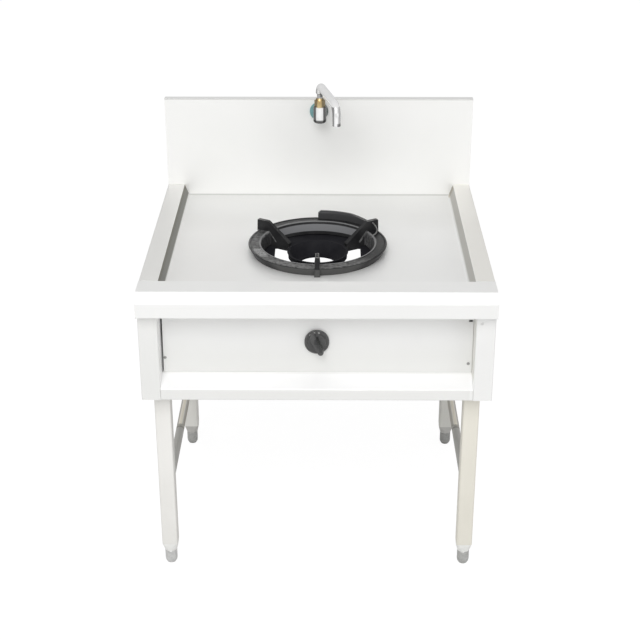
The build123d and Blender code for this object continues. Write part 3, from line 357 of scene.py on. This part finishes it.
castIron = {
    "grain": (420, 420, 420), "drift": 22.0, "low": (0.015, 0.015, 0.016), "high": (0.034, 0.034, 0.035),
    "rough": (0.28, 0.44), "bump": 0.45, "depth": 0.0007, "metallic": 0.0, "specular": 0.16,
    "patches": [
        # sand-cast top with painted sheen and shade: grey on the left, nearly black on the right, greyest
        # in front
        ringCoat((0.150, 0.150, 0.148), 0.001, topFace, x=(-0.190, -0.030, 0.04),
                 y=(-0.22, 0.030, 0.04), z=ringTop, mottle=110.0),
        ringCoat(0.018, 0.001, topFace, x=(0.040, 0.190, 0.04), y=(-0.22, 0.010, 0.04),
                 z=ringTop, mottle=110.0),
        ringCoat((0.170, 0.170, 0.168), 0.001, topFace, y=(-0.230, -0.165, 0.03),
                 z=ringTop, mottle=110.0),
        # rough speckled spot on the left, where the casting skin has chipped
        ringCoat(0.40, 0.001, (0.151, 0.171), x=(-0.158, -0.128, 0.008), y=(-0.125, -0.085, 0.012),
                 z=ringTop, mottle=170.0),
        # rubbed outer and inner lips with painted highlight on them, brightest inside the horns' feet
        ringCoat(0.150, 0.001, (0.1742, 0.1785), y=(0.030, 0.180, 0.05), z=ringTop),
        ringCoat((0.200, 0.200, 0.202), 0.0006, (0.1452, 0.1496), z=(0.7902, 0.7925)),
        ringCoat(0.25, 0.001, innerLip, x=(0.100, 0.150, 0.01), y=(-0.070, 0.040, 0.02),
                 z=lipTop, mottle=70.0),
        ringCoat(0.30, 0.001, innerLip, x=(-0.150, -0.100, 0.01), y=(-0.060, 0.040, 0.02),
                 z=lipTop, mottle=70.0),
        # glints on the side horns' plates, mirroring the lip beside them
        coat(0.24, 0.0014, slant=(0.805, 0, -0.593), reach=(-0.3703, -0.3667),
             x=(0.108, 0.128), y=(0.012, 0.045), z=plateHeight, mottle=170.0),
        coat(0.22, 0.0012, slant=(-0.805, 0, -0.593), reach=(-0.3694, -0.3676),
             x=(-0.128, -0.108), y=(0.012, 0.045), z=plateHeight, mottle=170.0),
        # painted light on the cone's inner wall at the sides, brighter on the right, greyer than the
        # sooty bowl below it
        ringCoat((0.070, 0.070, 0.072), 0.002, coneWall, x=(-0.150, -0.080, 0.02),
                 y=(-0.100, 0.030, 0.02), z=(0.7590, 0.7860), mottle=120.0),
        ringCoat((0.150, 0.150, 0.152), 0.002, coneWall, x=(0.080, 0.150, 0.02),
                 y=(-0.100, 0.030, 0.02), z=(0.7590, 0.7860), mottle=120.0),
        # the outer wall is greyer in front
        ringCoat((0.085, 0.085, 0.083), 0.001, (0.165, 0.1785), y=(-0.230, -0.185, 0.03),
                 z=(0.7600, 0.7885)),
        # the guard's face
        coat((0.052, 0.052, 0.054), 0.002, x=(-0.010, 0.130), y=(0.070, 0.150), z=(0.7930, 0.8130)),
        # ash-grey band burnt onto the back of the ring's cone, over the flame
        ringCoat((0.225, 0.227, 0.235), 0.0015, (0.1372, 0.1462), y=(0.060, 0.150, 0.035),
                 z=(0.7670, 0.7835)),
    ],
}
sootIron = {
    "grain": (420, 420, 420), "drift": 22.0, "low": (0.015, 0.015, 0.018), "high": (0.024, 0.024, 0.027),
    "rough": (0.65, 0.85), "bump": 0.35, "depth": 0.0005, "metallic": 0.0, "specular": 0.06,
}
wornIron = {
    "grain": (300, 300, 300), "drift": 60.0, "low": (0.10, 0.10, 0.10), "high": (0.30, 0.30, 0.29),
    "rough": (0.30, 0.42), "bump": 0.15, "metallic": 0.6,
}
slotFinishes = {
    "stainless_sheet": ("sheetSteel", sheetSteel), "stainless_tube": ("tubeSteel", tubeSteel),
    "frame_steel": ("frameSteel", frameSteel), "plug_metal": ("plugMetal", plugMetal),
    "foot_metal": ("footMetal", footMetal), "pipe_steel": ("pipeSteel", pipeSteel),
    "brass": ("brassMetal", brassMetal), "copper": ("copperTube", copperTube),
    "spindle_steel": ("spindleSteel", spindleSteel), "chrome": ("chromePlate", chromePlate),
    "screw_steel": ("screwSteel", screwSteel), "tap_teal": ("tealPaint", tealPaint),
    "knob_plastic": ("knobPlastic", knobPlastic), "cast_iron": ("castIron", castIron),
}
materials = {slot: finish(name, settings) for slot, (name, settings) in slotFinishes.items()}
soot = finish("sootIron", sootIron)
worn = finish("wornIron", wornIron)
marking = finish("markPaint", markPaint)

sootyNodes = ("burner_bowl", "burner_head")
for entry in frame["record"]["subparts"]:
    node = nodes[entry["node"]]
    node.data.materials.clear()
    node.data.materials.append(soot if entry["node"] in sootyNodes else materials[entry["material_slot"]])
print("stage: materials set")


def roundedLoop(corners, steps):
    # each corner is (across, up, reach): a curve starts and ends that far from it
    loop = []
    for index, (across, up, reach) in enumerate(corners):
        corner = Vector((across, up))
        before = Vector(corners[index - 1][:2])
        after = Vector(corners[(index + 1) % len(corners)][:2])
        first = corner + (before - corner).normalized() * reach
        last = corner + (after - corner).normalized() * reach
        for step in range(steps + 1):
            t = step / steps
            loop.append(first * (1 - t) ** 2 + corner * 2 * t * (1 - t) + last * t ** 2)
    return loop


def upright(bm, loop):
    # a closed outline of across and up, drawn in the xz plane
    verts = [bm.verts.new((across, 0, up)) for across, up in loop]
    edges = [bm.edges.new((vert, verts[index - 1])) for index, vert in enumerate(verts)]
    return verts, edges


def pushedOn(bm, face, first):
    # the first push keeps the old face as the bottom, the later ones leave nothing inside
    if first:
        grown = bmesh.ops.extrude_face_region(bm, geom=[face], use_keep_orig=True)["geom"]
        return next(item for item in grown if isinstance(item, bmesh.types.BMFace))
    return bmesh.ops.extrude_discrete_faces(bm, faces=[face])["faces"][0]


def widened(vert, radius, height):
    # moves a point straight out or in to a radius, at a height
    vert.co = (*(Vector(vert.co[:2]).normalized() * radius), height)


def raiseRound(bm, turns, profile, matrix):
    # a capped circle pushed up through pairs of radius and height; gives back its top face
    whole = list(bmesh.ops.create_circle(bm, cap_ends=True, radius=1.0, segments=turns)["verts"])
    face = whole[0].link_faces[0]
    for index, (radius, height) in enumerate(profile):
        if index:
            face = pushedOn(bm, face, index == 1)
            whole += face.verts
        for vert in face.verts:
            widened(vert, radius, height)
    bmesh.ops.transform(bm, matrix=matrix, verts=whole)
    return face


def newPiece(name, bm, body, mats, smooth=40.0):
    bmesh.ops.recalc_face_normals(bm, faces=bm.faces)
    mesh = bpy.data.meshes.new(name)
    bm.to_mesh(mesh)
    bm.free()
    for mat in mats:
        mesh.materials.append(mat)
    mesh.shade_smooth()
    mesh.set_sharp_from_angle(angle=math.radians(smooth))
    piece = bpy.data.objects.new(name, mesh)
    bpy.context.scene.collection.objects.link(piece)
    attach(piece, body)
    return piece


castRing = {
    "turns": 128, "sectionSteps": 3,
    # radius, height and rounding of the ring's section
    "section": [
        (0.1667, 0.7689, 0.0008), (0.1777, 0.7893, 0.0016), (0.1755, 0.7915, 0.0016),
        (0.1722, 0.7915, 0.0007), (0.1702, 0.7900, 0.0007), (0.1522, 0.7900, 0.0007),
        (0.1502, 0.7915, 0.0007), (0.1462, 0.7915, 0.0014), (0.1440, 0.7845, 0.0016),
        (0.1380, 0.7575, 0.0008), (0.1420, 0.7575, 0.0008), (0.1490, 0.7795, 0.0010),
        (0.1510, 0.7865, 0.0010), (0.1727, 0.7865, 0.0010), (0.1617, 0.7689, 0.0008),
    ],
    # horns: the front one stands out a little less and reaches down to the ring's foot
    "hornAngles": (30, 150, 270), "frontAngle": 270,
    "proud": 0.1797, "frontProud": 0.1787, "hornFoot": 0.7890, "frontFoot": 0.7689,
    "footInside": 0.1747, "frontFootInside": 0.1637,
    "hornTop": 0.8210, "hornBottom": 0.7504, "noseCut": 0.0025, "slopeFrom": 0.1470,
    # radius and height of the tip's two corners, and of the two under the ring's top
    "hornTip": [(0.0830, 0.7705), (0.0860, 0.7554)], "hornRoot": 0.1390,
    "hornUnder": [(0.1470, 0.7835), (0.1747, 0.7882)],
    "topWidth": 0.009, "rootWidth": 0.017, "hornEdge": 0.0013, "wornAbove": 0.7700,
    # guard: degrees, then radius, height and rounding of its section
    "guardFrom": 32.0, "guardTo": 90.0, "guardSteps": 48, "guardTop": 0.8118, "guardRounding": 4,
    "guardSection": [
        (0.1627, 0.7895, 0.0006), (0.1767, 0.7895, 0.0006), (0.1767, 0.8118, 0.0022),
        (0.1677, 0.8118, 0.0022), (0.1647, 0.8078, 0.0014),
    ],
    "fallFrom": 0.085, "fallPerMetre": 0.151, "cornerCut": 0.007,
    # edge of the guard's right end: radius, degrees and height of points down to the cone
    "ridge": [
        (0.1605, 28.2, 0.8150), (0.1655, 26.8, 0.8085), (0.1672, 24.0, 0.8015), (0.1630, 20.5, 0.7972),
        (0.1565, 18.0, 0.7940), (0.1490, 17.3, 0.7912), (0.1432, 18.5, 0.7830), (0.1408, 19.5, 0.7730),
        (0.1388, 20.5, 0.7640),
    ],
    "ridgeThick": 0.0019, "ridgeSides": 8, "ridgeSteps": 4,
}


def hornShell(bm, settings, degrees):
    front = degrees == settings["frontAngle"]
    outer = settings["frontProud"] if front else settings["proud"]
    inside = settings["frontFootInside"] if front else settings["footInside"]
    foot = settings["frontFoot"] if front else settings["hornFoot"]
    top, bottom, cut = settings["hornTop"], settings["hornBottom"], settings["noseCut"]
    outline = [
        (outer, foot), (outer, top - cut), (outer - cut, top), (settings["slopeFrom"], top),
        *settings["hornTip"], (settings["hornTip"][1][0], bottom), (settings["hornRoot"], bottom),
        *settings["hornUnder"], (inside, foot),
    ]
    flat = bm.faces.new(upright(bm, outline)[0])
    grown = bmesh.ops.extrude_face_region(bm, geom=[flat], use_keep_orig=True)["geom"]
    near, far = list(flat.verts), [item for item in grown if isinstance(item, bmesh.types.BMVert)]
    root, narrowing = settings["rootWidth"], settings["topWidth"] - settings["rootWidth"]
    for verts, side in ((near, -0.5), (far, 0.5)):
        for vert in verts:  # the sides draw in towards the top
            share = (vert.co.z - bottom) / (top - bottom)
            vert.co.y = side * (root + narrowing * share)
    turn = Matrix.Rotation(math.radians(degrees), 4, "Z")
    bmesh.ops.transform(bm, matrix=Matrix.Translation((*ringAxis, 0)) @ turn, verts=near + far)
    edges = list(dict.fromkeys(edge for vert in near + far for edge in vert.link_edges))
    upper = [edge for edge in edges if min(vert.co.z for vert in edge.verts) > settings["wornAbove"]]
    lower = [edge for edge in edges if edge not in upper]
    bmesh.ops.bevel(bm, geom=lower, offset=settings["hornEdge"] / 2, segments=1, profile=0.5,
                    affect="EDGES", material=-1)
    upper = [edge for edge in upper if edge.is_valid]
    bmesh.ops.bevel(bm, geom=upper, offset=settings["hornEdge"], segments=2, profile=0.5,
                    affect="EDGES", material=1)


def guardShell(bm, settings):
    before = set(bm.verts)
    verts, edges = upright(bm, roundedLoop(settings["guardSection"], settings["guardRounding"]))
    start = Matrix.Rotation(math.radians(settings["guardFrom"]), 4, "Z")
    bmesh.ops.transform(bm, matrix=start, verts=verts)
    bmesh.ops.spin(bm, geom=verts + edges, axis=(0, 0, 1), steps=settings["guardSteps"],
                   angle=math.radians(settings["guardTo"] - settings["guardFrom"]))
    verts = [vert for vert in bm.verts if vert not in before]
    for vert in verts:  # the crest falls to the right, and its left corner is cut
        fall = max(0.0, vert.co.x - settings["fallFrom"]) * settings["fallPerMetre"]
        cut = max(0.0, settings["cornerCut"] - max(vert.co.x, 0.0))
        vert.co.z = min(vert.co.z, settings["guardTop"] - fall - cut)
    ends = dict.fromkeys(edge for vert in verts for edge in vert.link_edges if edge.is_boundary)
    bmesh.ops.holes_fill(bm, edges=list(ends), sides=0)
    bmesh.ops.translate(bm, verts=verts, vec=(*ringAxis, 0))


def ridgeShell(bm, settings):
    before = set(bm.faces)
    spots = []
    for radius, degrees, height in settings["ridge"]:
        angle = math.radians(degrees)
        spot = Vector((radius * math.cos(angle), radius * math.sin(angle), height))
        spots.append(spot + Vector((*ringAxis, 0)))
    path = []
    for index in range(len(spots) - 1):  # a smooth line through the points
        early, late = spots[max(index - 1, 0)], spots[min(index + 2, len(spots) - 1)]
        first, last = spots[index], spots[index + 1]
        path += interpolate_bezier(first, first + (last - early) / 6, last - (late - first) / 6, last,
                                   settings["ridgeSteps"] + 1)[:-1]
    path.append(spots[-1])
    made = bmesh.ops.create_circle(bm, cap_ends=True, radius=settings["ridgeThick"],
                                   segments=settings["ridgeSides"])["verts"]
    face = made[0].link_faces[0]
    corners = [vert.co.copy() for vert in face.verts]
    for index, spot in enumerate(path):
        if index:
            face = pushedOn(bm, face, index == 1)
        along = path[min(index + 1, len(path) - 1)] - path[max(index - 1, 0)]
        side = along.cross(Vector((0, 0, 1)))
        up = along.cross(side)
        turn = Matrix((side.normalized(), up.normalized(), along.normalized())).transposed()
        for vert, corner in zip(face.verts, corners):
            vert.co = spot + turn @ corner
    for face in bm.faces:
        if face not in before:
            face.material_index = 1


def makeCastRing(settings):
    bm = bmesh.new()
    section, edges = upright(bm, roundedLoop(settings["section"], settings["sectionSteps"]))
    bmesh.ops.translate(bm, verts=section, vec=(*ringAxis, 0))
    bmesh.ops.spin(bm, geom=section + edges, cent=(*ringAxis, 0), axis=(0, 0, 1),
                   angle=math.tau, steps=settings["turns"], use_merge=True)
    for degrees in settings["hornAngles"]:
        hornShell(bm, settings, degrees)
    guardShell(bm, settings)
    ridgeShell(bm, settings)
    piece = newPiece("castRing", bm, "wok_ring", [materials["cast_iron"], worn])
    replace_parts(piece, "wok_ring")


makeCastRing(castRing)
print("stage: cast ring made")

# the leaning control panel's face: heights, how far its head stands back, and its foot's y
panelFace = {"low": 0.5637, "high": 0.742, "setBack": 0.010, "footY": -0.3205}
panelLean = math.atan2(panelFace["setBack"], panelFace["high"] - panelFace["low"])
panelNormal = Vector((0, -math.cos(panelLean), math.sin(panelLean)))


def panelPoint(x, height):
    return Vector((x, panelFace["footY"] + (height - panelFace["low"]) * math.tan(panelLean), height))


def facing(place, normal):
    # carries local z onto normal and local y up
    right = Vector((1, 0, 0))
    up = normal.cross(right)
    turn = Matrix((right, up, normal)).transposed().to_4x4()
    return Matrix.Translation(place) @ turn


screwHeads = {
    "turns": 32, "shankRadius": 0.0019, "headRadius": 0.00375,
    # shares of those radii, and heights above the sheet
    "shank": [(0.3, -0.0100), (1.0, -0.0085), (1.0, 0.00005)],
    "head": [(1.0, 0.00005), (1.0, 0.0008), (0.93, 0.0014), (0.78, 0.0019), (0.58, 0.0021)],
    "arm": 0.0017, "web": 0.00065, "armHalfAngle": 17.0, "recess": 0.0012,
    "panelPlaces": [(-0.3694, 0.6017), (0.3685, 0.5872)], "postPlace": (0.3910, -0.3685, 0.7177),
}


def screwShell(bm, settings, place, normal):
    profile = [(settings["shankRadius"] * share, height) for share, height in settings["shank"]]
    profile += [(settings["headRadius"] * share, height) for share, height in settings["head"]]
    face = raiseRound(bm, settings["turns"], profile, Matrix())
    top = profile[-1][1]
    for depth in (0.0, settings["recess"]):  # the cross recess, drawn on the top and sunk
        face = pushedOn(bm, face, False)
        for vert in face.verts:
            angle = math.degrees(math.atan2(vert.co.y, vert.co.x))
            offArm = abs((angle + 45) % 90 - 45)  # degrees from the nearest of the four arms
            reach = settings["arm"] if offArm < settings["armHalfAngle"] else settings["web"]
            widened(vert, reach, top - depth)
    loose = [vert for vert in bm.verts if not vert.tag]
    bmesh.ops.transform(bm, matrix=facing(place, normal), verts=loose)
    for vert in loose:
        vert.tag = True


def makeScrews(name, places, node, settings):
    bm = bmesh.new()
    for place, normal in places:
        screwShell(bm, settings, place, normal)
    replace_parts(newPiece(name, bm, "frame", [materials["screw_steel"]]), node)


panelPlaces = [(panelPoint(x, height), panelNormal) for x, height in screwHeads["panelPlaces"]]
makeScrews("panelScrewHeads", panelPlaces, "panel_screws", screwHeads)
postPlaces = [(Vector(screwHeads["postPlace"]), Vector((0, -1, 0)))]
makeScrews("postScrewHead", postPlaces, "post_screw", screwHeads)

knobMarks = {"height": 0.6455, "face": 0.0100, "ringRadius": 0.0257, "fromTop": (-40.0, -13.0, 11.0),
             "turns": 20, "long": 0.0024, "wide": 0.0016, "rise": 0.0004,
             "profile": [(1.0, -0.75), (1.0, 0.5), (0.85, 1.0)]}


def makeKnobMarks(settings):
    bm = bmesh.new()
    base = facing(panelPoint(0, settings["height"]), panelNormal)
    shape = Matrix.Diagonal((settings["long"], settings["wide"], settings["rise"], 1))
    middle = Matrix.Translation((0, settings["ringRadius"], settings["face"]))
    for degrees in settings["fromTop"]:
        turn = Matrix.Rotation(math.radians(-degrees), 4, "Z")
        raiseRound(bm, settings["turns"], settings["profile"], base @ turn @ middle @ shape)
    newPiece("knobMarks", bm, "knob", [marking])


makeKnobMarks(knobMarks)

stretcherWelds = {"x": 0.3814, "z": 0.2140, "ends": (-0.2860, 0.2890), "radius": 0.0116, "bead": 0.0016,
                  "flat": 0.8, "ripple": 0.16, "ripples": 26, "turns": 104, "sides": 10, "smooth": 60.0}


def makeWelds(settings):
    bm = bmesh.new()
    for x in (-settings["x"], settings["x"]):
        for y in settings["ends"]:
            before = set(bm.verts)
            middle = Vector((x, y, settings["z"]))
            verts = bmesh.ops.create_circle(bm, radius=settings["bead"],
                                            segments=settings["sides"])["verts"]
            edges = list(dict.fromkeys(edge for vert in verts for edge in vert.link_edges))
            bmesh.ops.scale(bm, verts=verts, vec=(1, settings["flat"], 1))
            bmesh.ops.translate(bm, verts=verts, vec=middle + Vector((settings["radius"], 0, 0)))
            bmesh.ops.spin(bm, geom=verts + edges, cent=middle, axis=(0, 1, 0), angle=math.tau,
                           steps=settings["turns"], use_merge=True)
            for vert in [vert for vert in bm.verts if vert not in before]:  # the bead's ripples
                arm = vert.co - middle
                along = Vector((arm.x, 0, arm.z)).normalized() * settings["radius"]
                ripple = settings["ripple"] * math.cos(settings["ripples"] * math.atan2(arm.z, arm.x))
                vert.co = middle + along + (arm - along) * (1 + ripple)
    tube = [materials["stainless_tube"]]
    newPiece("stretcherWelds", bm, "frame", tube, settings["smooth"])


makeWelds(stretcherWelds)
print("stage: screws, marks and welds made")

studio = {
    "floorSize": 14.0, "floorTone": 0.86, "floorGlow": 1.13, "floorShare": 0.80,
    "worldTone": 0.60, "keyPower": 125.0, "keySize": 2.6, "keyPlace": (-0.5, -3.7, 4.0),
    "fillPower": 12.0, "fillSize": 2.0, "fillPlace": (3.0, -3.0, 1.2), "aim": (0, 0, 0.75),
}


def makeFloor(settings):
    bm = bmesh.new()
    bmesh.ops.create_grid(bm, x_segments=1, y_segments=1, size=settings["floorSize"] / 2)
    mesh = bpy.data.meshes.new("floor")
    bm.to_mesh(mesh)
    bm.free()
    floor = bpy.data.objects.new("floor", mesh)
    bpy.context.scene.collection.objects.link(floor)
    mat = bpy.data.materials.new("floorPaint")
    tree, out = clearedTree(mat, "ShaderNodeOutputMaterial")
    paint = addNode(tree, "ShaderNodeBsdfDiffuse", {"Color": grey(settings["floorTone"])})
    glow = addNode(tree, "ShaderNodeEmission", {"Color": grey(1.0), "Strength": settings["floorGlow"]})
    path = addNode(tree, "ShaderNodeLightPath")
    share = addNode(tree, "ShaderNodeMath", {1: settings["floorShare"]}, operation="MULTIPLY")
    mix = addNode(tree, "ShaderNodeMixShader")
    tree.links.new(path.outputs["Is Camera Ray"], share.inputs[0])
    tree.links.new(share.outputs[0], mix.inputs["Fac"])
    tree.links.new(paint.outputs[0], mix.inputs[1])
    tree.links.new(glow.outputs[0], mix.inputs[2])
    tree.links.new(mix.outputs[0], out.inputs["Surface"])
    mesh.materials.append(mat)


def makeWorld(settings):
    world = bpy.data.worlds.new("studioWorld")
    bpy.context.scene.world = world
    tree, out = clearedTree(world, "ShaderNodeOutputWorld")
    soft = addNode(tree, "ShaderNodeBackground", {"Color": grey(settings["worldTone"]), "Strength": 1.0})
    white = addNode(tree, "ShaderNodeBackground", {"Color": grey(1.0), "Strength": 1.0})
    path = addNode(tree, "ShaderNodeLightPath")
    mix = addNode(tree, "ShaderNodeMixShader")
    tree.links.new(path.outputs["Is Camera Ray"], mix.inputs["Fac"])
    tree.links.new(soft.outputs[0], mix.inputs[1])
    tree.links.new(white.outputs[0], mix.inputs[2])
    tree.links.new(mix.outputs[0], out.inputs["Surface"])


def makeLamp(name, settings, kind):
    data = bpy.data.lights.new(name, "AREA")
    data.size = settings[kind + "Size"]
    data.energy = settings[kind + "Power"]
    lamp = bpy.data.objects.new(name, data)
    lamp.location = settings[kind + "Place"]
    aim = Vector(settings["aim"]) - Vector(settings[kind + "Place"])
    lamp.rotation_euler = aim.to_track_quat("-Z", "Y").to_euler()
    bpy.context.scene.collection.objects.link(lamp)


makeFloor(studio)
makeWorld(studio)
makeLamp("keyLamp", studio, "key")
makeLamp("fillLamp", studio, "fill")
bpy.context.scene.view_settings.view_transform = "Standard"
print("stage: studio set")

view = {"place": (0.0257, -3.3210, 2.1167), "down": 25.21, "turn": 0.344, "lens": 77.74, "sensor": 36.0}
cameraData = bpy.data.cameras.new("camera")
cameraData.lens = view["lens"]
cameraData.sensor_width = view["sensor"]
camera = bpy.data.objects.new("camera", cameraData)
camera.location = view["place"]
camera.rotation_euler = (math.radians(90 - view["down"]), 0, math.radians(view["turn"]))
bpy.context.scene.collection.objects.link(camera)
bpy.context.scene.camera = camera
print("stage: camera set")
